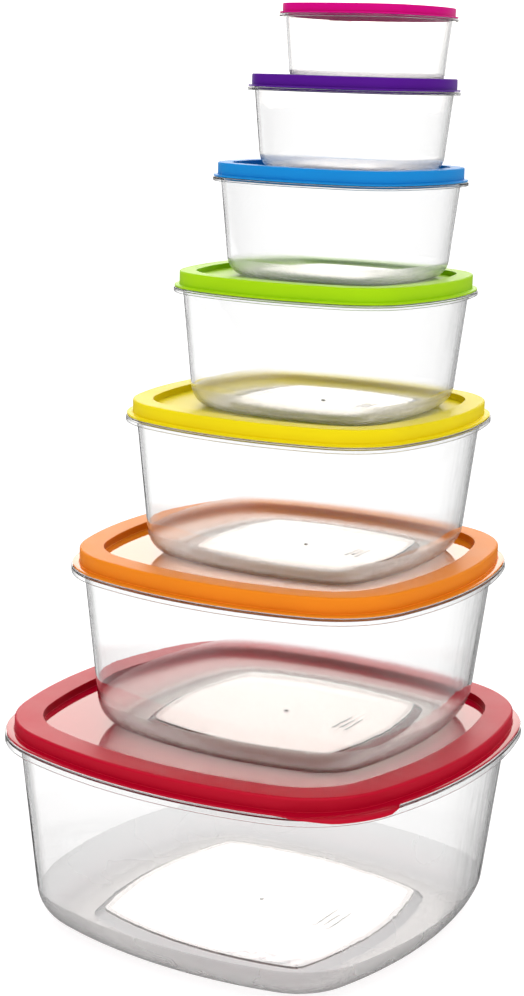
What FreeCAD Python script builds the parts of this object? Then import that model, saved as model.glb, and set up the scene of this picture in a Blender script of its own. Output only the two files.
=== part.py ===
"""Stack of seven clear food tubs, each closed by its own coloured snap lid.

Every container is one moulding scaled to its size: a drafted tub with a raised floor panel, a
flange and an upstanding rim, and a lid whose hollow ring fits over that rim.  The lid's middle is
sunk, and the tub above stands in it.  Millimetres, +Z up, origin under the largest tub's middle.
"""

import FreeCAD, Part
import math
import os

import Sketcher

DOC = FreeCAD.newDocument("SnapLidStack")

# Shared shape of every container, mostly as shares of its flange half width.
SHARED = {
    "rim_side_share": 2.095,       # radius of the gently bowed sides at the flange
    "rim_corner_share": 0.500,     # radius of the flange corners
    "foot_inset_share": 0.155,     # flange edge in to where the wall would meet the ground
    "fillet_share": 0.170,         # round between wall and floor
    "skin_base": 0.60,             # wall thickness is skin_base + skin_share * half width
    "skin_share": 0.007,
    "panel_share": 0.613,          # raised middle of the floor
    "panel_side_share": 1.600,
    "panel_corner_share": 0.110,
    "panel_rise_share": 0.028,
    "panel_slope_share": 0.022,
    "apron_share": 0.034,          # height of the flange's turned-down edge
    "gate_radius": 1.1,            # moulding gate nub on the floor
    "gate_rise": 0.5,
    "skirt_inset_share": 0.040,    # flange edge in to the lid's outer skirt
    "brim_inset_share": 0.006,     # flange edge in to the thin brim around the lid's skirt
    "brim_skin_share": 0.800,      # brim thickness as a share of the wall thickness
    "ring_inset_share": 0.160,     # flange edge in to the sunk middle of the lid
    "ring_round_share": 0.007,     # rounding of the lid's top edges
    "rib_depth": 1.2,              # sealing rib reaches this far below the flange
    "snap_room_base": 0.20,        # rim to skirt: snap_room_base + snap_room_share * half width
    "snap_room_share": 0.008,
    "fit_gap": 0.20,               # clearance between lid and tub
    "seat_gap": 0.10,              # clearance under the foot of a tub that stands in a lid
    "tab_overhang": 1.2,           # lift tab beyond the flange
    "tab_drop_share": 0.018,       # lift tab's lip below the flange
    "tab_half_angle": 31.0,        # degrees to each side of the tab's middle
}

# Each size: flange half width, tub height up to the flange, lid ring height, sunk depth, place on
# the lid below, turn, and where around the lid its lift tab is (degrees from +X).
SIZE_KEYS = ("half", "tall", "ring", "sunk", "shift_x", "shift_y", "turn", "tab_turn")
SIZES = {
    "red": (130.0, 109.5, 8.6, 4.2, 0.0, 0.0, 0.0, -40.0),
    "orange": (107.9, 90.3, 9.6, 3.9, 9.9, 4.1, 2.5, 135.0),
    "yellow": (89.3, 75.8, 8.4, 3.7, 7.0, 3.2, 2.0, 135.0),
    "green": (73.5, 63.5, 8.4, 2.8, 6.7, 1.6, 2.5, 135.0),
    "blue": (60.8, 51.2, 7.4, 3.1, 3.0, 5.7, -1.0, 135.0),
    "purple": (50.4, 41.8, 6.6, 4.1, 4.5, 2.7, 0.0, 135.0),
    "pink": (42.2, 34.5, 5.2, 3.0, 5.4, 2.7, 0.0, 135.0),
}


def make_sheet():
    """Write every driving dimension to the spreadsheet, one named cell each."""
    sheet = DOC.addObject("Spreadsheet::Sheet", "Sizes")
    cells = dict(SHARED)
    for colour, numbers in SIZES.items():
        for key, number in zip(SIZE_KEYS, numbers):
            cells[f"{colour}_{key}"] = number
    for row, (alias, number) in enumerate(cells.items(), start=1):
        sheet.set(f"A{row}", alias)
        sheet.set(f"B{row}", str(number))
        sheet.setAlias(f"B{row}", alias)
    DOC.recompute()
    return sheet


SHEET = make_sheet()


def value(expression):
    """Number that an expression has now."""
    result = SHEET.evalExpression(expression)
    return float(getattr(result, "Value", result))


class Outline:
    """Rounded square with bowed sides: half width, side radius and corner radius as expressions."""

    def __init__(self, half, side, corner):
        self.half = half
        self.side = side
        self.corner = corner

    def inset(self, distance):
        """Outline moved inwards by a distance all round."""
        return Outline(*(f"({size}) - ({distance})" for size in (self.half, self.side, self.corner)))

    def corner_centre(self):
        """Distance of a corner arc's centre from both axes."""
        half, side, corner = value(self.half), value(self.side), value(self.corner)
        offset = half - side
        return (offset + math.sqrt(2.0 * (side - corner) ** 2 - offset ** 2)) / 2.0


class Container:
    """Expressions for one size, shared by its tub and its lid."""

    def __init__(self, colour):
        self.colour = colour
        for key in SIZE_KEYS:
            setattr(self, key, f"Sizes.{colour}_{key}")
        self.skin = f"(Sizes.skin_base + Sizes.skin_share * {self.half})"
        self.flange = Outline(
            self.half, self.share("rim_side_share"), self.share("rim_corner_share"))
        self.snap_room = f"(Sizes.snap_room_base + {self.share('snap_room_share')})"
        self.wall_inset = f"({self.share('skirt_inset_share')} + {self.skin} + {self.snap_room})"
        self.wall_top = self.flange.inset(self.wall_inset)
        self.wall_foot = self.flange.inset(self.share("foot_inset_share"))
        self.panel = Outline(
            self.share("panel_share"), self.share("panel_side_share"),
            self.share("panel_corner_share"))
        self.panel_rise = self.share("panel_rise_share")
        self.apron = self.share("apron_share")
        self.rim_height = f"({self.ring} - {self.skin} - Sizes.fit_gap)"
        self.brim_height = f"(Sizes.brim_skin_share * {self.skin})"

    def share(self, name):
        return f"(Sizes.{name} * {self.half})"


def plane(body, role):
    """One of the body's own origin planes."""
    return next(item for item in body.Origin.OriginFeatures if item.Role == role)


def add_sketch(body, name, level):
    """Empty horizontal sketch of a body at a level above the body's origin."""
    sketch = body.newObject("Sketcher::SketchObject", name)
    sketch.AttachmentSupport = [(plane(body, "XY_Plane"), "")]
    sketch.MapMode = "FlatFace"
    sketch.setExpression("AttachmentOffset.Base.z", level)
    return sketch


def drive(sketch, constraint, expression):
    """Add a constraint whose number follows an expression."""
    index = sketch.addConstraint(constraint)
    sketch.setExpression(f"Constraints[{index}]", expression)


def draw_arc(sketch, centre, radius, middle, half_angle):
    """Arc about a centre, symmetric about the direction of its middle."""
    circle = Part.Circle(FreeCAD.Vector(centre[0], centre[1], 0), FreeCAD.Vector(0, 0, 1), radius)
    return sketch.addGeometry(Part.ArcOfCircle(circle, middle - half_angle, middle + half_angle))


def draw_outline(sketch, outline):
    """Four side arcs and four corner arcs, tangent all round, centred on the sketch origin."""
    half, side, corner = value(outline.half), value(outline.side), value(outline.corner)
    centre = outline.corner_centre()
    reach = math.atan2(centre, centre + side - half)
    sides = []
    corners = []
    for turn in range(4):
        angle = turn * math.pi / 2.0
        back = half - side
        sides.append(draw_arc(
            sketch, (back * math.cos(angle), back * math.sin(angle)), side, angle, reach))
        diagonal = angle + math.pi / 4.0
        far = centre * math.sqrt(2.0)
        corners.append(draw_arc(
            sketch, (far * math.cos(diagonal), far * math.sin(diagonal)), corner, diagonal,
            math.pi / 4.0 - reach))
    start, end, middle = 1, 2, 3
    origin, x_axis, y_axis = -1, -1, -2
    behind = f"({outline.side}) - ({outline.half})"
    for turn in range(4):
        along_x = turn % 2 == 0
        sketch.addConstraint(Sketcher.Constraint(
            "PointOnObject", sides[turn], middle, x_axis if along_x else y_axis))
        kind = "DistanceX" if along_x else "DistanceY"
        if turn < 2:
            ends = (sides[turn], middle, origin, start)
        else:
            ends = (origin, start, sides[turn], middle)
        drive(sketch, Sketcher.Constraint(kind, *ends, side - half), behind)
        following = sides[(turn + 1) % 4]
        sketch.addConstraint(Sketcher.Constraint("Tangent", sides[turn], end, corners[turn], start))
        sketch.addConstraint(Sketcher.Constraint("Tangent", corners[turn], end, following, start))
    drive(sketch, Sketcher.Constraint("Radius", sides[0], side), outline.side)
    drive(sketch, Sketcher.Constraint("Radius", corners[0], corner), outline.corner)
    for turn in range(1, 4):
        sketch.addConstraint(Sketcher.Constraint("Equal", sides[0], sides[turn]))
        sketch.addConstraint(Sketcher.Constraint("Equal", corners[0], corners[turn]))


def outline_sketch(body, name, level, *outlines):
    """Sketch of one outline, or of two nested ones for a ring."""
    sketch = add_sketch(body, name, level)
    for outline in outlines:
        draw_outline(sketch, outline)
    return sketch


def extrude(body, kind, name, sketch, length, turned_over=False):
    """Pad or Pocket of a sketch; a pad grows up and a pocket cuts down unless turned over."""
    feature = body.newObject(f"PartDesign::{kind}", name)
    feature.Profile = sketch
    feature.Reversed = turned_over
    feature.setExpression("Length", length)
    return feature


def loft(body, kind, name, low_sketch, high_sketch):
    """AdditiveLoft or SubtractiveLoft with straight sides between two sketches."""
    feature = body.newObject(f"PartDesign::{kind}", name)
    feature.Profile = low_sketch
    feature.Sections = [high_sketch]
    feature.Ruled = True
    return feature


def edges_at(feature, level, outline, spare=0.05):
    """Names of a feature's horizontal edges at a level that lie on an outline."""
    half = value(outline.half)
    corner_reach = outline.corner_centre() * math.sqrt(2.0) + value(outline.corner)
    names = []
    for index, edge in enumerate(feature.Shape.Edges, start=1):
        box = edge.BoundBox
        flat = abs(box.ZMin - level) < spare and abs(box.ZMax - level) < spare
        point = edge.valueAt((edge.FirstParameter + edge.LastParameter) / 2.0)
        side_reach = max(abs(point.x), abs(point.y))
        on_side = abs(side_reach - half) < spare
        on_corner = abs(math.hypot(point.x, point.y) - corner_reach) < spare
        if flat and (on_side or on_corner):
            names.append(f"Edge{index}")
    return names


def faces_where(feature, test):
    """Names of a feature's faces that pass a test on their bounding box."""
    faces = enumerate(feature.Shape.Faces, start=1)
    return [f"Face{index}" for index, face in faces if test(face.BoundBox)]


def fillet(body, name, base, level, outline, radius):
    """Round the eight edges of an outline at a level."""
    DOC.recompute()
    edges = edges_at(base, value(level), outline)
    if len(edges) != 8:
        raise RuntimeError(f"{body.Label} {name}: {len(edges)} edges found")
    feature = body.newObject("PartDesign::Fillet", name)
    feature.Base = (base, edges)
    feature.setExpression("Radius", radius)
    return feature


def draft(body, name, base, angle):
    """Lean every upright face outwards from the ground plane."""
    DOC.recompute()
    feature = body.newObject("PartDesign::Draft", name)
    feature.Base = (base, faces_where(base, lambda box: box.ZLength > 1.0))
    feature.NeutralPlane = (plane(body, "XY_Plane"), [""])
    feature.Reversed = True
    feature.setExpression("Angle", angle)
    return feature


def hollow_out(body, name, base, thickness):
    """Leave only a skin of a closed block, open at the top."""
    DOC.recompute()
    top = base.Shape.BoundBox.ZMax
    feature = body.newObject("PartDesign::Thickness", name)
    feature.Base = (base, faces_where(base, lambda box: box.ZMin > top - 0.01))
    feature.Reversed = True
    feature.setExpression("Value", thickness)
    return feature


def new_body(name, box):
    """Body that stands at its container's place in the stack."""
    body = DOC.addObject("PartDesign::Body", name)
    body.Label = name
    for axis, expression in zip("xyz", box["place"]):
        body.setExpression(f"Placement.Base.{axis}", expression)
    body.setExpression("Placement.Rotation.Angle", box["size"].turn)
    return body


def make_tub(box):
    """Clear tub: drafted wall, rounded bottom, raised floor panel, flange, apron and rim."""
    size = box["size"]
    body = new_body(f"tub_{size.colour}", box)
    skin = size.skin
    foot = outline_sketch(body, "FootOutline", "0", size.wall_foot)
    block = extrude(body, "Pad", "Block", foot, size.tall)
    lean = f"{size.share('foot_inset_share')} - {size.wall_inset}"
    leaning = draft(body, "WallDraft", block, f"atan(({lean}) / {size.tall})")
    rounded = fillet(body, "BottomRound", leaning, "0", size.wall_foot,
                     size.share("fillet_share"))
    hollow_out(body, "Wall", rounded, skin)

    in_wall = size.wall_top.inset(f"0.5 * {skin}")
    flange = outline_sketch(body, "FlangeOutline", size.tall, size.flange, in_wall)
    extrude(body, "Pad", "Flange", flange, skin, turned_over=True)
    apron_inner = size.flange.inset(f"0.8 * {skin}")
    apron = outline_sketch(body, "ApronOutline", size.tall, size.flange, apron_inner)
    extrude(body, "Pad", "Apron", apron, size.apron, turned_over=True)
    rim = outline_sketch(body, "RimOutline", size.tall, size.wall_top, size.wall_top.inset(skin))
    extrude(body, "Pad", "Rim", rim, size.rim_height)
    bead_level = f"{size.tall} + 0.55 * {size.rim_height}"
    bead_outline = size.wall_top.inset(f"Sizes.fit_gap - {size.snap_room}")
    bead = outline_sketch(body, "BeadOutline", bead_level, bead_outline, in_wall)
    extrude(body, "Pad", "SnapBead", bead, f"0.25 * {size.rim_height}")

    panel_top = size.panel.inset(size.share("panel_slope_share"))
    panel_low = outline_sketch(body, "PanelOutline", skin, size.panel)
    panel_high = outline_sketch(
        body, "PanelTopOutline", f"{skin} + {size.panel_rise}", panel_top)
    loft(body, "AdditiveLoft", "Panel", panel_low, panel_high)
    hollow_low = outline_sketch(body, "HollowOutline", "0", size.panel)
    hollow_high = outline_sketch(body, "HollowTopOutline", size.panel_rise, panel_top)
    loft(body, "SubtractiveLoft", "HollowUnderPanel", hollow_low, hollow_high)

    gate = add_sketch(body, "GateOutline", f"{skin} + {size.panel_rise}")
    nub = gate.addGeometry(Part.Circle(
        FreeCAD.Vector(0, 0, 0), FreeCAD.Vector(0, 0, 1), value("Sizes.gate_radius")))
    gate.addConstraint(Sketcher.Constraint("Coincident", nub, 3, -1, 1))
    drive(gate, Sketcher.Constraint("Radius", nub, value("Sizes.gate_radius")),
          "Sizes.gate_radius")
    body.Tip = extrude(body, "Pad", "GateNub", gate, "Sizes.gate_rise")
    return body


def make_lid(box):
    """Coloured lid: hollow ring over the rim, sunk middle, sealing rib, brim and lift tab."""
    size = box["size"]
    body = new_body(f"lid_{size.colour}", box)
    skin = size.skin
    under = f"{size.tall} + Sizes.fit_gap"
    top = f"{size.tall} + {size.ring}"
    skirt = size.flange.inset(size.share("skirt_inset_share"))
    sunk = size.flange.inset(size.share("ring_inset_share"))
    edge_round = size.share("ring_round_share")

    blank = outline_sketch(body, "SkirtOutline", under, skirt)
    block = extrude(body, "Pad", "Blank", blank, f"{size.ring} - Sizes.fit_gap")
    fillet(body, "OuterEdgeRound", block, top, skirt, edge_round)
    middle = outline_sketch(body, "SunkOutline", top, sunk)
    well = extrude(body, "Pocket", "SunkMiddle", middle, size.sunk)
    fillet(body, "InnerEdgeRound", well, top, sunk, edge_round)

    hollow = outline_sketch(body, "MiddleHollowOutline", under, skirt.inset(skin))
    floor_under = f"{size.ring} - {size.sunk} - {skin} - Sizes.fit_gap"
    extrude(body, "Pocket", "HollowUnderMiddle", hollow, floor_under, turned_over=True)
    channel = outline_sketch(
        body, "ChannelOutline", under, skirt.inset(skin), sunk.inset(f"-{skin}"))
    channel_depth = f"{size.ring} - {skin} - Sizes.fit_gap"
    extrude(body, "Pocket", "RingChannel", channel, channel_depth, turned_over=True)

    rib_outer = size.wall_top.inset(f"{skin} + 2 * Sizes.fit_gap")
    rib_level = f"{size.tall} + {size.ring} - {skin}"
    rib = outline_sketch(
        body, "RibOutline", rib_level, rib_outer, rib_outer.inset(f"0.8 * {skin}"))
    rib_height = f"{size.ring} - {skin} + Sizes.rib_depth"
    extrude(body, "Pad", "SealingRib", rib, rib_height, turned_over=True)

    in_skirt = skirt.inset(f"0.5 * {skin}")
    brim_edge = size.flange.inset(size.share("brim_inset_share"))
    brim = outline_sketch(body, "BrimOutline", under, brim_edge, in_skirt)
    extrude(body, "Pad", "Brim", brim, size.brim_height)
    tongue = tab_sketch(body, "TabOutline", under, size, in_skirt.corner)
    extrude(body, "Pad", "LiftTab", tongue, size.brim_height)
    lip_radius = f"({size.flange.corner}) + Sizes.tab_overhang"
    lip = tab_sketch(body, "TabLipOutline", f"{under} + {size.brim_height}", size, lip_radius)
    lip_height = f"{size.brim_height} + {size.share('tab_drop_share')}"
    body.Tip = extrude(body, "Pad", "LiftTabLip", lip, lip_height, turned_over=True)
    return body


def tab_sketch(body, name, level, size, inner_radius):
    """Strip of the lift tab from a radius outwards, about the centre of the nearest corner arc."""
    sketch = add_sketch(body, name, level)
    outer_radius = f"({size.flange.corner}) + Sizes.tab_overhang + {size.skin}"
    reach = size.flange.corner_centre()
    direction = math.radians(value(size.tab_turn))
    half_angle = math.radians(value("Sizes.tab_half_angle"))
    centre = (math.copysign(reach, math.cos(direction)), math.copysign(reach, math.sin(direction)))
    arcs = [draw_arc(sketch, centre, value(radius), direction, half_angle)
            for radius in (inner_radius, outer_radius)]
    start, end, middle = 1, 2, 3
    closing = []
    for which in (start, end):
        points = [sketch.getPoint(arc, which) for arc in arcs]
        line = sketch.addGeometry(Part.LineSegment(*points))
        closing.append(line)
        sketch.addConstraint(Sketcher.Constraint("Coincident", line, start, arcs[0], which))
        sketch.addConstraint(Sketcher.Constraint("Coincident", line, end, arcs[1], which))
        sketch.addConstraint(Sketcher.Constraint("PointOnObject", arcs[0], middle, line))
    sketch.addConstraint(Sketcher.Constraint("Coincident", arcs[0], middle, arcs[1], middle))
    drive(sketch, Sketcher.Constraint("Radius", arcs[0], value(inner_radius)), inner_radius)
    drive(sketch, Sketcher.Constraint("Radius", arcs[1], value(outer_radius)), outer_radius)
    for index, axis in enumerate("XY"):
        sketch.addConstraint(Sketcher.Constraint(
            f"Distance{axis}", -1, start, arcs[0], middle, centre[index]))
    for line, sign in zip(closing, (-1.0, 1.0)):
        angle = direction + sign * half_angle
        sketch.addConstraint(Sketcher.Constraint("Angle", line, angle))
    return sketch


def stack_places():
    """Place of every container as expressions: each stands in the sunk lid of the one below."""
    boxes = []
    place = ["0", "0", "0"]
    below = None
    for colour in SIZES:
        size = Container(colour)
        rise = "0"
        if below is not None:
            rise = f"{below.tall} + {below.ring} - {below.sunk} + Sizes.seat_gap"
        steps = (size.shift_x, size.shift_y, rise)
        place = [f"{total} + {step}" for total, step in zip(place, steps)]
        boxes.append({"size": size, "place": list(place)})
        below = size
    return boxes


def check(objects):
    """Stop if anything in the document failed or a sub-part is not one valid solid."""
    for item in DOC.Objects:
        if "Invalid" in item.State or "Error" in item.State:
            raise RuntimeError(f"{item.Name} is {item.State}")
    for item in objects:
        shape = item.Shape
        if shape.isNull() or not shape.isValid() or len(shape.Solids) != 1:
            raise RuntimeError(f"{item.Label} has a bad shape")


BODIES = []
for container in stack_places():
    BODIES.append(make_tub(container))
    BODIES.append(make_lid(container))
DOC.recompute()
check(BODIES)

os.makedirs("parts", exist_ok=True)
for node in BODIES:
    node.Shape.exportStep(os.path.join("parts", f"{node.Label}.step"))
    print(f"{node.Label}: {node.Shape.Volume / 1000.0:.1f} cm3")
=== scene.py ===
"""Looks of the stacked snap lid food tubs: clear tubs, coloured lids, camera and soft studio.

Each tub and lid is one swept mesh.  Its rings are rounded squares with bowed sides.  Apart from those of
the floor panel, every ring is the tub's flange outline moved inwards, so a moulding is described by its
cross-section.  A point of a cross-section is its distance inwards from the flange's edge and its height.
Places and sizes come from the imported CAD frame; the shares below are those of the family.  Metres.
"""

import math

import bmesh
import bpy
from mathutils import Matrix, Vector


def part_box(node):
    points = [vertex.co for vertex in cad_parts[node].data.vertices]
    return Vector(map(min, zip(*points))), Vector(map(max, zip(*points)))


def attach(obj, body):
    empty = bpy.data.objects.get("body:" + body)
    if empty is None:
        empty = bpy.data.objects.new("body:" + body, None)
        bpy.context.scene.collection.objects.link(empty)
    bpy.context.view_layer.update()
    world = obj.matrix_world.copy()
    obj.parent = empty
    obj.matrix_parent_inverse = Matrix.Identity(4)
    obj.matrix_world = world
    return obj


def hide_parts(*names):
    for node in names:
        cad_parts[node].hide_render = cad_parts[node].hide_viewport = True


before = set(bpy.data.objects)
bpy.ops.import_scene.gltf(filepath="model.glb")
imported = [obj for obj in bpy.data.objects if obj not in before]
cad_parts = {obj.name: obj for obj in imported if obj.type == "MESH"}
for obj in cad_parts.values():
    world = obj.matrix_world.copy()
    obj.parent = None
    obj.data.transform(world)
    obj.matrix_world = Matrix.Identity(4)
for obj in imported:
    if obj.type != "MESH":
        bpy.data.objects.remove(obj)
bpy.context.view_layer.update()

MM = 0.001

# Shape of the family, as shares of the half width over the flange.
SIDE_RADIUS = 2.095
CORNER_RADIUS = 0.500
FOOT_INSET = 0.155
FLOOR_ROUND = 0.170
PANEL_HALF = 0.613
PANEL_SIDE_RADIUS = 1.600
PANEL_CORNER_RADIUS = 0.110
PANEL_RISE = 0.028
PANEL_SLOPE = 0.042
APRON_HEIGHT = 0.034
SKIRT_INSET = 0.040
BRIM_INSET = 0.006
RING_INSET = 0.160
RING_OUTER_ROUND = 0.0112
RING_INNER_ROUND = 0.0028
WELL_INSET = 0.320
TAB_DROP = 0.018
SNAP_ROOM_SHARE = 0.008
SKIN_SHARE = 0.007
MARK_PLACE = 0.357
MARK_PITCH = 0.034
BAR_HALF_LENGTH = 0.065
BAR_LENGTHENING = 0.030
BAR_RADIUS = 0.008

# Width of a bar of the mark at its top, as a share of its width at its foot.
BAR_TAPER = 0.6

# Shares of the skin, which is the thickness of a moulding.
BRIM_THICKNESS = 0.8
APRON_THICKNESS = 0.8
RIB_THICKNESS = 0.8
RIM_ROUND = 0.3
FINE_ROUND = 0.2
FINE_FLAT = 0.4

# Slope round the floor panel: where the flats beside it end, in widths of the slope from its foot, and
# the radius of its two bends, as a share of its rise.
PANEL_FLAT_END = 1.7
FLOOR_FLAT_END = -0.4
PANEL_ROUND = 0.25

# Snap bead: its start and length as shares of the rim's height, and its radius as a share of its depth.
BEAD_START = 0.55
BEAD_LENGTH = 0.25
BEAD_ROUND = 0.2

# Lengths that every size has in common.
SKIN_BASE = 0.60 * MM
SNAP_ROOM_BASE = 0.20 * MM
FIT_GAP = 0.20 * MM
RIB_DEPTH = 1.2 * MM
GATE_RADIUS = 1.1 * MM
GATE_TOP_RADIUS = 0.33 * MM
GATE_RISE = 0.5 * MM
GATE_ROUND = 0.20 * MM
INNER_EDGE_ROUND = 0.25 * MM
OUTER_EDGE_ROUND = 0.40 * MM
WALL_EDGE_ROUND = 0.50 * MM
MARK_RISE = 0.12 * MM
MARK_SINK = 0.048 * MM
SLACK = 0.01 * MM

# Lift tab: how far it reaches past the flange, half the angle that it spans about its corner's centre,
# and the angles over which it fades at its two ends.  It goes out TAB_LEAD times as fast as it fades in,
# and down only after that, so that it clears the flange.
TAB_OVERHANG = 1.2 * MM
TAB_HALF_ANGLE = math.radians(31.0)
TAB_FADE_BEFORE = math.radians(30.0)
TAB_FADE_AFTER = math.radians(8.0)
TAB_LEAD = 4.0

# Width of the lip under the brim's edge, as a share of the brim's height; only the lip goes down.
LIP_WIDTH = 0.8

# Each lid: ring height, sunk depth, turn of its container and direction of its lift tab (degrees).
LIDS = {
    "red": (8.6 * MM, 4.2 * MM, 0.0, -40.0),
    "orange": (9.6 * MM, 3.9 * MM, 2.5, 135.0),
    "yellow": (8.4 * MM, 3.7 * MM, 2.0, 135.0),
    "green": (8.4 * MM, 2.8 * MM, 2.5, 135.0),
    "blue": (7.4 * MM, 3.1 * MM, -1.0, 135.0),
    "purple": (6.6 * MM, 4.1 * MM, 0.0, 135.0),
    "pink": (5.2 * MM, 3.0 * MM, 0.0, 135.0),
}
LARGEST = "red"

LID_COLOURS = {
    "red": (0.57, 0.000, 0.023),
    "orange": (0.95, 0.27, 0.012),
    "yellow": (0.95, 0.76, 0.004),
    "green": (0.42, 0.74, 0.004),
    "blue": (0.008, 0.28, 0.72),
    "purple": (0.10, 0.008, 0.30),
    "pink": (0.72, 0.000, 0.24),
}

# Lids whose sunk middle is polished like a mirror; on the others it is silky.
MIRRORED = ("red", "orange")

# Finishes of lids: share of colour kept under painted shade, roughness, specular level and height of the
# grain. The gloss finish keeps 0.8 of its colour as painted shade on the sunk middle and the top of the
# brim. The red lid's satin is its own and shines more.
LID_FINISHES = {
    "satin": (1.0, 0.40, 0.09, 0.006 * MM),
    "red_satin": (1.0, 0.40, 0.17, 0.006 * MM),
    "silk": (1.0, 0.34, 0.06, 0.003 * MM),
    "gloss": (0.8, 0.03, 0.50, 0.0),
}
LID_TINTS = (0.94, 1.04)
LID_ROUGHNESS_RANGE = (0.85, 1.15)

# Finishes of clear plastic: tint face on, darker tint of turned edges, which is painted shade, and range
# of roughness.
CLEAR_FINISHES = {
    "clear_wall": (0.97, 0.38, (0.0, 0.02)),
    "clear_foot": (1.0, 1.0, (0.20, 0.26)),
    # The largest tub's foot is painted darker face on and at its edges, as painted shade from the shaded
    # table under it.
    "clear_foot_largest_shaded": (0.83, 0.80, (0.24, 0.30)),
}
# Facings over which the painted edge shade comes in, and the range of strength of its streaks.
EDGE_SHADE_RANGE = (0.56, 0.94)
EDGE_SHADE_UNEVENNESS = (0.0, 2.0)
FLOW_SQUEEZE = Vector((1.0, 1.0, 0.10))
WAVE_HEIGHT = 0.12 * MM

# Noise: features per metre, and levels of detail.
# The streaks of the painted edge shade on clear plastic follow this scale.
EDGE_SHADE_STREAK_SCALE = 260.0
WAVE_SCALE = 70.0
FROST_SCALE = 22.0
TINT_SCALE = 30.0
SHEEN_SCALE = 60.0
GRAIN_SCALE = 2200.0
NOISE_DETAIL = 2.0
GRAIN_DETAIL = 3.0

# Finishes of a tub, and of a lid, by their place in its list of materials.
CLEAR, FOOT = 0, 1
SATIN, SMOOTH = 0, 1

# Fineness of the meshes.
SIDE_STEPS = 34
CORNER_STEPS = 16
ARC_STEPS = 5
BEND_STEPS = 14
BAR_STEPS = 24
NEARLY_STRAIGHT = math.radians(89.0)

# Soft lobes of light in the studio: direction, cosines where a lobe starts and is full, and light.
# All of them fade out between the two cosines of HORIZON, just below the level, and AMBIENT stays.
AMBIENT = 0.14
WHITE = Vector((1.0, 1.0, 1.0))
WARM = Vector((1.0, 0.92, 0.84))
UP = Vector((0.0, 0.0, 1.0))
BEHIND = Vector((-0.531, 0.836, 0.0)).normalized()
HORIZON = (-0.05, -0.016)


def raised(direction, angle):
    """Level direction, turned up by an angle in radians."""
    return direction * math.cos(angle) + UP * math.sin(angle)


LIGHT_LOBES = {
    "backdrop": (raised(BEHIND, 0.14), (0.64, 0.93), 0.95 * WHITE),
    "softbox": (raised(BEHIND, 0.38), (0.900, 0.995), 2.10 * WARM),
    "overhead": (UP, (0.35, 0.95), 1.30 * WHITE),
    "front": (raised(-BEHIND, 0.25), (0.50, 0.95), 0.60 * WHITE),
}

FLOOR_HALF = 100.0
FLOOR_STEPS = 8
FLOOR_LEVEL = -0.2 * MM
FLOOR_GLOW = 0.88

CAMERA_PLACE = Vector((0.5595, -0.8927, 0.4669))
CAMERA_AIM = Vector((0.0039, -0.0185, 0.2417))
CAMERA_ROLL = math.radians(1.68)
CAMERA_LENS = 71.54


class Outline:
    """Rounded square with bowed sides: half width, side radius and corner radius."""

    def __init__(self, half, side, corner):
        self.half = half
        self.side = side
        self.corner = corner

    def inset(self, distance):
        return Outline(self.half - distance, self.side - distance, self.corner - distance)

    def corner_centre(self):
        """Distance of a corner arc's centre from both axes."""
        back = self.half - self.side
        bow = self.side - self.corner
        return (back + math.sqrt(2.0 * bow * bow - back * back)) / 2.0

    def side_reach(self):
        """Half the angle that a side arc turns through."""
        centre = self.corner_centre()
        return math.atan2(centre, centre + self.side - self.half)

    def points(self, height):
        """Ring of points at a height, one for each of the shared directions of the normal."""
        back = self.half - self.side
        far = self.corner_centre() * math.sqrt(2.0)
        reach = self.side_reach()
        ring = []
        for angle in DIRECTIONS:
            quarter = round(angle / (math.pi / 2.0)) * math.pi / 2.0
            if abs(angle - quarter) <= reach:
                middle = (back * math.cos(quarter), back * math.sin(quarter))
                radius = self.side
            else:
                diagonal = (math.floor(angle / (math.pi / 2.0)) + 0.5) * math.pi / 2.0
                middle = (far * math.cos(diagonal), far * math.sin(diagonal))
                radius = self.corner
            ring.append(Vector((
                middle[0] + radius * math.cos(angle), middle[1] + radius * math.sin(angle), height)))
        return ring


def shared_directions():
    """Directions of the outline's normal, close together at the corners, for every ring."""
    reach = Outline(1.0, SIDE_RADIUS, CORNER_RADIUS).side_reach()
    corner = math.pi / 2.0 - 2.0 * reach
    angles = []
    for quarter in range(4):
        start = quarter * math.pi / 2.0 - reach
        angles += [start + 2.0 * reach * step / SIDE_STEPS for step in range(SIDE_STEPS)]
        start += 2.0 * reach
        angles += [start + corner * step / CORNER_STEPS for step in range(CORNER_STEPS)]
    return angles


DIRECTIONS = shared_directions()


def circle(radius):
    return Outline(radius, radius, radius)


def rounded(corners):
    """Cross-section path through corners (inset, height, radius), with each corner made an arc."""
    path = [Vector(corners[0][:2])]
    for before, here, after in zip(corners, corners[1:], corners[2:]):
        point = Vector(here[:2])
        radius = here[2]
        back = (Vector(before[:2]) - point).normalized()
        on = (Vector(after[:2]) - point).normalized()
        half_angle = back.angle(on) / 2.0
        if radius <= 0.0 or half_angle > NEARLY_STRAIGHT:
            path.append(point)
            continue
        centre = point + (back + on).normalized() * (radius / math.sin(half_angle))
        start = point + back * (radius / math.tan(half_angle)) - centre
        end = point + on * (radius / math.tan(half_angle)) - centre
        sweep_angle = math.atan2(start.x * end.y - start.y * end.x, start.dot(end))
        for step in range(ARC_STEPS + 1):
            path.append(centre + Matrix.Rotation(sweep_angle * step / ARC_STEPS, 2) @ start)
    path.append(Vector(corners[-1][:2]))
    return path


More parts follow.
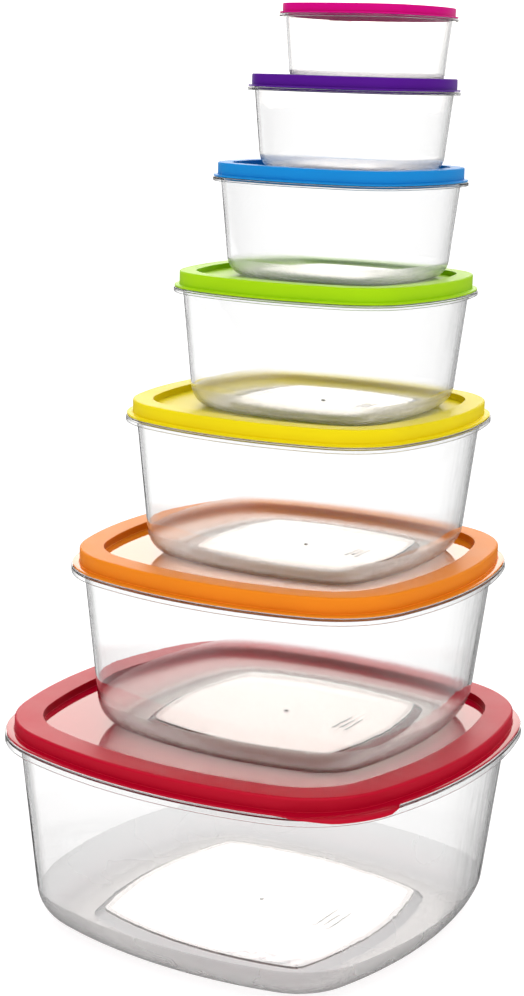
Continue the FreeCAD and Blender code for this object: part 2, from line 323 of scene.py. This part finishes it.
class Container:
    """Sizes of one container, read from its nodes in the frame."""

    def __init__(self, colour):
        self.colour = colour
        self.tub = f"tub_{colour}"
        self.lid = f"lid_{colour}"
        self.ring, self.sunk, turn, tab_turn = LIDS[colour]
        self.turn = math.radians(turn)
        self.tab_turn = math.radians(tab_turn)
        low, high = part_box(self.tub)
        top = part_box(self.lid)[1].z
        self.place = Vector(((low.x + high.x) / 2.0, (low.y + high.y) / 2.0, low.z))
        bow = SIDE_RADIUS + (1.0 - SIDE_RADIUS) * math.cos(self.turn)
        self.half = (high.x - low.x) / 2.0 / bow
        self.tall = top - low.z - self.ring
        self.skin = SKIN_BASE + SKIN_SHARE * self.half
        self.snap_room = SNAP_ROOM_BASE + SNAP_ROOM_SHARE * self.half
        self.wall_inset = SKIRT_INSET * self.half + self.skin + self.snap_room
        self.rim_height = self.ring - self.skin - FIT_GAP
        self.brim_height = BRIM_THICKNESS * self.skin
        self.flange = Outline(self.half, SIDE_RADIUS * self.half, CORNER_RADIUS * self.half)
        self.panel = Outline(
            PANEL_HALF * self.half, PANEL_SIDE_RADIUS * self.half, PANEL_CORNER_RADIUS * self.half)


def sweep(mesh, strips):
    """Quads between following rings of strips (rings, finish); a lone point closes an end as a fan."""
    made = [([mesh.verts.new(point) for point in ring], finish)
            for rings, finish in strips for ring in rings]
    for (low, finish), (high, _) in zip(made, made[1:]):
        count = max(len(low), len(high))
        for index in range(count):
            following = (index + 1) % count
            corners = [low[index % len(low)], low[following % len(low)],
                       high[following % len(high)], high[index % len(high)]]
            face = mesh.faces.new(dict.fromkeys(corners))
            face.material_index = finish


def linked(name, mesh):
    """Object in the scene, made from a mesh that isn't needed afterwards."""
    data = bpy.data.meshes.new(name)
    mesh.to_mesh(data)
    mesh.free()
    piece = bpy.data.objects.new(name, data)
    bpy.context.scene.collection.objects.link(piece)
    return piece


def finished(name, mesh, size, materials):
    """Smooth object from a mesh in its container's own axes, put at the container's place."""
    bmesh.ops.recalc_face_normals(mesh, faces=mesh.faces)
    for face in mesh.faces:
        face.smooth = True
    piece = linked(name, mesh)
    for material in materials:
        piece.data.materials.append(material)
    piece.location = size.place
    piece.rotation_euler.z = size.turn
    weighted = piece.modifiers.new("EvenShading", "WEIGHTED_NORMAL")
    weighted.keep_sharp = False
    return piece


def panel_section(size, floor):
    """Path from the raised panel out over its slope and onto the floor, which is at a height."""
    rise = PANEL_RISE * size.half
    slope = PANEL_SLOPE * size.half
    return rounded([
        (PANEL_FLAT_END * slope, floor + rise, 0.0),
        (slope, floor + rise, PANEL_ROUND * rise),
        (0.0, floor, PANEL_ROUND * rise),
        (FLOOR_FLAT_END * slope, floor, 0.0)])


def foot_sections(size):
    """Paths round the bend of the foot, inside and outside, from the floor up to the wall."""
    foot = FOOT_INSET * size.half
    outer_round = FLOOR_ROUND * size.half
    lean = math.atan((foot - size.wall_inset) / size.tall)
    centre = Vector((foot + outer_round * (1.0 - math.sin(lean)) / math.cos(lean), outer_round))
    turns = [(math.pi / 2.0 - lean) * step / BEND_STEPS for step in range(BEND_STEPS + 1)]
    return [[centre - radius * Vector((math.sin(turn), math.cos(turn))) for turn in turns]
            for radius in (outer_round - size.skin, outer_round)]


def rim_section(size, inside_foot, outside_foot):
    """Path up the inside of the wall, over the rim, down past bead, flange and apron, and down outside."""
    skin, tall, wall = size.skin, size.tall, size.wall_inset
    rim_top = tall + size.rim_height
    rim_round = RIM_ROUND * skin
    bead = size.snap_room - FIT_GAP
    bead_low = tall + BEAD_START * size.rim_height
    bead_high = bead_low + BEAD_LENGTH * size.rim_height
    bead_round = BEAD_ROUND * bead
    apron_foot = tall - APRON_HEIGHT * size.half
    apron = APRON_THICKNESS * skin
    return rounded([
        (*inside_foot, 0.0),
        (wall + skin, tall, 0.0),
        (wall + skin, rim_top, rim_round),
        (wall, rim_top, rim_round),
        (wall, bead_high, 0.0),
        (wall - bead, bead_high - bead_round, bead_round),
        (wall - bead, bead_low + bead_round, bead_round),
        (wall, bead_low, 0.0),
        (wall, tall, INNER_EDGE_ROUND),
        (0.0, tall, OUTER_EDGE_ROUND),
        (0.0, apron_foot, rim_round),
        (apron, apron_foot, rim_round),
        (apron, tall - skin, INNER_EDGE_ROUND),
        (wall, tall - skin, WALL_EDGE_ROUND),
        (*outside_foot, 0.0)])


def tub_strips(size):
    """Rings of a tub, from the middle of its floor out, up, over the rim and back below."""
    panel_top = size.skin + PANEL_RISE * size.half
    gate_top = panel_top + GATE_RISE
    gate = rounded([
        (GATE_TOP_RADIUS, gate_top, 0.0),
        (GATE_RADIUS, gate_top, GATE_ROUND),
        (GATE_RADIUS, panel_top, 0.0)])
    gate_rings = [[Vector((0.0, 0.0, gate_top))]] + [circle(step.x).points(step.y) for step in gate]
    above = panel_section(size, size.skin)
    below = panel_section(size, 0.0)[::-1]
    inside, outside = foot_sections(size)
    rim = rim_section(size, inside[-1], outside[-1])

    def rings(outline, path):
        return [outline.inset(step.x).points(step.y) for step in path]

    return [
        (gate_rings + rings(size.panel, above[:1]), CLEAR),
        (rings(size.panel, above[1:]) + rings(size.flange, inside[:-1]), FOOT),
        (rings(size.flange, rim[:-1]), CLEAR),
        (rings(size.flange, outside[::-1]) + rings(size.panel, below[:-1]), FOOT),
        (rings(size.panel, below[-1:]) + [[Vector((0.0, 0.0, PANEL_RISE * size.half))]], CLEAR)]


def add_mark(mesh, size):
    """Plain moulded mark on the floor panel: three low bars side by side, the outer two longer."""
    top = size.skin + PANEL_RISE * size.half
    low = top - MARK_SINK
    high = top + MARK_RISE
    radius = BAR_RADIUS * size.half
    for bar in (-1, 0, 1):
        middle = Vector(((MARK_PLACE + bar * MARK_PITCH) * size.half, 0.0, 0.0))
        half_length = (BAR_HALF_LENGTH + BAR_LENGTHENING * abs(bar)) * size.half

        def bar_ring(share, height):
            ring = []
            for step in range(BAR_STEPS):
                angle = 2.0 * math.pi * (step + 0.5) / BAR_STEPS
                across = share * radius * math.cos(angle)
                along = share * radius * math.sin(angle) + math.copysign(half_length, math.sin(angle))
                ring.append(middle + Vector((across, along, height)))
            return ring

        rings = [[middle + Vector((0.0, 0.0, low))], bar_ring(1.0, low), bar_ring(1.0, top),
                 bar_ring(BAR_TAPER, high), [middle + Vector((0.0, 0.0, high))]]
        sweep(mesh, [(rings, CLEAR)])


def make_tub(size, materials):
    """Tub with its clear and foot finishes."""
    mesh = bmesh.new()
    sweep(mesh, tub_strips(size))
    add_mark(mesh, size)
    tub = finished(f"{size.tub}_clear", mesh, size, materials)
    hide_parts(size.tub)
    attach(tub, size.tub)


def lid_section(size):
    """Stretches of a lid's cross-section, from under its middle out, over the ring and in again."""
    half, skin, tall = size.half, size.skin, size.tall
    under = tall + FIT_GAP
    top = tall + size.ring
    floor = top - size.sunk
    skirt = SKIRT_INSET * half
    sunk = RING_INSET * half
    well = WELL_INSET * half
    brim = BRIM_INSET * half
    brim_top = under + size.brim_height
    rib = size.wall_inset + skin + 2.0 * FIT_GAP
    rib_inner = rib + RIB_THICKNESS * skin
    fine = FINE_ROUND * skin
    skirt_foot = skirt - FINE_FLAT * skin
    wall_foot = sunk + FINE_FLAT * skin
    below = rounded([
        (well, floor - skin, 0.0),
        (sunk - skin, floor - skin, fine),
        (sunk - skin, top - skin, fine),
        (rib_inner, top - skin, fine),
        (rib_inner, tall - RIB_DEPTH, fine),
        (rib, tall - RIB_DEPTH, fine),
        (rib, top - skin, fine),
        (skirt + skin, top - skin, fine),
        (skirt + skin, under, fine),
        (brim + size.brim_height, under, 0.0),
        (brim + LIP_WIDTH * size.brim_height, under, 0.0),
        (brim, under, fine),
        (brim, brim_top, 0.0)])
    ring = rounded([
        (skirt_foot, brim_top, 0.0),
        (skirt, brim_top, fine),
        (skirt, top, RING_OUTER_ROUND * half),
        (sunk, top, RING_INNER_ROUND * half),
        (sunk, floor, fine),
        (wall_foot, floor, 0.0)])
    middle = [Vector((wall_foot, floor)), Vector((well, floor))]
    return [(below[:-1], SATIN), (below[-1:], SMOOTH), (ring[:-1], SATIN), (middle, SMOOTH)]


def tab_shares(size):
    """How fully each direction of a ring belongs to the lift tab, from 0 to 1."""
    reach = size.flange.corner_centre()
    centre = Vector((math.copysign(reach, math.cos(size.tab_turn)),
                     math.copysign(reach, math.sin(size.tab_turn)), 0.0))
    shares = []
    for point in size.flange.points(0.0):
        outward = point - centre
        turn = math.remainder(math.atan2(outward.y, outward.x) - size.tab_turn, 2.0 * math.pi)
        fade = TAB_FADE_AFTER if turn > 0.0 else TAB_FADE_BEFORE
        share = min(1.0, max(0.0, (TAB_HALF_ANGLE - abs(turn)) / fade))
        shares.append(share * share * (3.0 - 2.0 * share))
    return shares


def lid_ring(size, step, shares):
    """Ring of a lid at one step of its section, with the brim drawn out, then down, at the tab."""
    ring = size.flange.inset(step.x).points(step.y)
    brim = BRIM_INSET * size.half
    under = size.tall + FIT_GAP
    if step.x > brim + size.brim_height + SLACK or step.y < under - SLACK:
        return ring
    out = brim + TAB_OVERHANG + size.skin
    at_lip = (step.x < brim + LIP_WIDTH * size.brim_height + SLACK
              and step.y < under + FINE_ROUND * size.skin + SLACK)
    down = TAB_DROP * size.half if at_lip else 0.0
    for point, angle, share in zip(ring, DIRECTIONS, shares):
        past_flange = out * min(1.0, TAB_LEAD * share)
        point += Vector((
            past_flange * math.cos(angle), past_flange * math.sin(angle), -down * share * share))
    return ring


def make_lid(size, materials):
    """Lid with its satin and smooth finishes, closed above and below at its middle."""
    mesh = bmesh.new()
    shares = tab_shares(size)
    strips = [([lid_ring(size, step, shares) for step in path], finish)
              for path, finish in lid_section(size)]
    under_middle = Vector((0.0, 0.0, strips[0][0][0][0].z))
    over_middle = Vector((0.0, 0.0, strips[-1][0][-1][0].z))
    sweep(mesh, [([[under_middle]], SATIN)] + strips + [([[over_middle]], SMOOTH)])
    lid = finished(f"{size.lid}_moulding", mesh, size, materials)
    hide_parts(size.lid)
    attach(lid, size.lid)


def new_material(name):
    material = bpy.data.materials.new(name)
    material.use_nodes = True
    return material, material.node_tree, material.node_tree.nodes["Principled BSDF"]


def vector_math(tree, operation, first, second):
    """Vector Math node, on which a constant vector is set, and to which a socket is linked."""
    node = tree.nodes.new("ShaderNodeVectorMath")
    node.operation = operation
    other = node.inputs["Scale"] if operation == "SCALE" else node.inputs[1]
    for socket, value in ((node.inputs[0], first), (other, second)):
        if isinstance(value, Vector):
            socket.default_value = value
        else:
            tree.links.new(value, socket)
    return node


def noise_at(tree, place, scale, detail):
    """Noise over the coordinates from a socket."""
    texture = tree.nodes.new("ShaderNodeTexNoise")
    texture.inputs["Scale"].default_value = scale
    texture.inputs["Detail"].default_value = detail
    tree.links.new(place, texture.inputs["Vector"])
    return texture.outputs["Fac"]


def noise(tree, scale, detail=NOISE_DETAIL):
    """Noise over the piece's own coordinates."""
    place = tree.nodes.new("ShaderNodeTexCoord").outputs["Object"]
    return noise_at(tree, place, scale, detail)


def flow_lines_and_shade_streaks(tree, scale):
    """Noise drawn out along the height, like the flow of plastic up a moulded wall; it shapes the wall's
    waves and the streaks of the painted edge shade.
    """
    place = tree.nodes.new("ShaderNodeTexCoord").outputs["Object"]
    squeezed = vector_math(tree, "MULTIPLY", place, FLOW_SQUEEZE)
    return noise_at(tree, squeezed.outputs["Vector"], scale, NOISE_DETAIL)


def spread(tree, source, low, high):
    """Rescale a 0 to 1 value to a range."""
    node = tree.nodes.new("ShaderNodeMapRange")
    node.inputs["To Min"].default_value = low
    node.inputs["To Max"].default_value = high
    tree.links.new(source, node.inputs["Value"])
    return node.outputs["Result"]


def smooth_rise(tree, source, start, full):
    """Smooth rise from 0 to 1 as a value goes through a range."""
    node = tree.nodes.new("ShaderNodeMapRange")
    node.interpolation_type = "SMOOTHSTEP"
    node.inputs["From Min"].default_value = start
    node.inputs["From Max"].default_value = full
    tree.links.new(source, node.inputs["Value"])
    return node.outputs["Result"]


def mix_colours(tree, shader, factor, first, second):
    """Base colour that goes from one colour to another with a factor."""
    mix = tree.nodes.new("ShaderNodeMix")
    mix.data_type = "RGBA"
    mix.inputs["A"].default_value = (*first, 1.0)
    mix.inputs["B"].default_value = (*second, 1.0)
    tree.links.new(factor, mix.inputs["Factor"])
    tree.links.new(mix.outputs["Result"], shader.inputs["Base Color"])


def add_bump(tree, shader, source, height):
    node = tree.nodes.new("ShaderNodeBump")
    node.inputs["Strength"].default_value = 1.0
    node.inputs["Distance"].default_value = height
    tree.links.new(source, node.inputs["Height"])
    tree.links.new(node.outputs["Normal"], shader.inputs["Normal"])


def clear_plastic(name):
    """Clear plastic with painted shade along its turned edges, where its colour darkens in uneven streaks.
    """
    material, tree, shader = new_material(name)
    tint, edge, roughness = CLEAR_FINISHES[name]
    # Painted shade: the base colour goes from the face-on tint to the darker edge tint as the surface
    # turns away from the view, in streaks.
    layer = tree.nodes.new("ShaderNodeLayerWeight")
    layer.inputs["Blend"].default_value = 0.5
    uneven = tree.nodes.new("ShaderNodeMath")
    uneven.operation = "MULTIPLY"
    uneven.use_clamp = True
    tree.links.new(smooth_rise(tree, layer.outputs["Facing"], *EDGE_SHADE_RANGE), uneven.inputs[0])
    tree.links.new(
        spread(tree, flow_lines_and_shade_streaks(tree, EDGE_SHADE_STREAK_SCALE), *EDGE_SHADE_UNEVENNESS), uneven.inputs[1])
    mix_colours(tree, shader, uneven.outputs["Value"], [tint] * 3, [edge] * 3)
    shader.inputs["IOR"].default_value = 1.49
    shader.inputs["Transmission Weight"].default_value = 1.0
    tree.links.new(spread(tree, noise(tree, FROST_SCALE), *roughness), shader.inputs["Roughness"])
    add_bump(tree, shader, flow_lines_and_shade_streaks(tree, WAVE_SCALE), WAVE_HEIGHT)
    return material


def lid_plastic(colour, finish):
    """Coloured plastic, a little translucent, with a faintly uneven tint and a fine grain."""
    name = f"{colour}_{finish}"
    material, tree, shader = new_material(name)
    shade_factor, roughness, specular, grain = LID_FINISHES.get(name, LID_FINISHES[finish])
    # The colour is scaled by the finish's share, which paints shade on the gloss finish.
    tints = [[shade_factor * channel * share for channel in LID_COLOURS[colour]] for share in LID_TINTS]
    mix_colours(tree, shader, noise(tree, TINT_SCALE), *tints)
    shader.inputs["IOR"].default_value = 1.52
    shader.inputs["Specular IOR Level"].default_value = specular
    shader.inputs["Specular Tint"].default_value = (1.0, 0.88, 0.80, 1.0)
    shader.inputs["Subsurface Weight"].default_value = 0.15
    shader.inputs["Subsurface Radius"].default_value = (1.0, 1.0, 1.0)
    shader.inputs["Subsurface Scale"].default_value = 1.2 * MM
    low, high = (roughness * share for share in LID_ROUGHNESS_RANGE)
    tree.links.new(spread(tree, noise(tree, SHEEN_SCALE), low, high), shader.inputs["Roughness"])
    if grain:
        add_bump(tree, shader, noise(tree, GRAIN_SCALE, GRAIN_DETAIL), grain)
    return material


def make_floor():
    """Glowing white floor, kept out of mirror reflections so that clear edges stay dark."""
    mesh = bmesh.new()
    bmesh.ops.create_grid(mesh, x_segments=FLOOR_STEPS, y_segments=FLOOR_STEPS, size=FLOOR_HALF)
    floor = linked("studio_floor", mesh)
    floor.location.z = FLOOR_LEVEL
    material, _, shader = new_material("floor_white")
    shader.inputs["Base Color"].default_value = (0.3, 0.3, 0.3, 1.0)
    shader.inputs["Roughness"].default_value = 1.0
    shader.inputs["Specular IOR Level"].default_value = 0.0
    shader.inputs["Emission Color"].default_value = (1.0, 1.0, 1.0, 1.0)
    shader.inputs["Emission Strength"].default_value = FLOOR_GLOW
    floor.data.materials.append(material)
    floor.visible_glossy = False


def make_world():
    """Bright backdrop behind the object, soft light overhead and in front, and a dim studio elsewhere."""
    world = bpy.data.worlds.new("studio")
    bpy.context.scene.world = world
    world.use_nodes = True
    tree = world.node_tree
    source = tree.nodes.new("ShaderNodeTexCoord").outputs["Generated"]

    def rise(direction, cosines):
        towards = vector_math(tree, "DOT_PRODUCT", source, direction)
        return smooth_rise(tree, towards.outputs["Value"], *cosines)

    total = 0.0 * WHITE
    for name, (direction, cosines, light) in LIGHT_LOBES.items():
        lobe = vector_math(tree, "SCALE", light, rise(direction, cosines))
        lobe.label = name
        total = vector_math(tree, "ADD", total, lobe.outputs["Vector"]).outputs["Vector"]
    above = vector_math(tree, "SCALE", total, rise(UP, HORIZON))
    with_ambient = vector_math(tree, "ADD", above.outputs["Vector"], AMBIENT * WHITE)
    background = tree.nodes["Background"]
    tree.links.new(with_ambient.outputs["Vector"], background.inputs["Color"])
    background.inputs["Strength"].default_value = 1.0


def make_camera():
    """Camera at the photograph's viewing angle."""
    data = bpy.data.cameras.new("camera")
    data.lens = CAMERA_LENS
    data.clip_start = 0.01
    data.clip_end = 2.0 * FLOOR_HALF
    camera = bpy.data.objects.new("camera", data)
    bpy.context.scene.collection.objects.link(camera)
    camera.location = CAMERA_PLACE
    level = (CAMERA_AIM - CAMERA_PLACE).to_track_quat("-Z", "Y").to_matrix()
    camera.rotation_mode = "QUATERNION"
    camera.rotation_quaternion = (level @ Matrix.Rotation(CAMERA_ROLL, 3, "Z")).to_quaternion()
    bpy.context.scene.camera = camera


clear = {name: clear_plastic(name) for name in CLEAR_FINISHES}
for lid_colour in LIDS:
    container = Container(lid_colour)
    # The largest tub's foot gets the clear material with painted shade.
    foot = "clear_foot_largest_shaded" if lid_colour == LARGEST else "clear_foot"
    make_tub(container, (clear["clear_wall"], clear[foot]))
    smoothest = "gloss" if lid_colour in MIRRORED else "silk"
    make_lid(container, (lid_plastic(lid_colour, "satin"), lid_plastic(lid_colour, smoothest)))

make_floor()
make_world()
make_camera()
bpy.context.scene.view_settings.view_transform = "Standard"
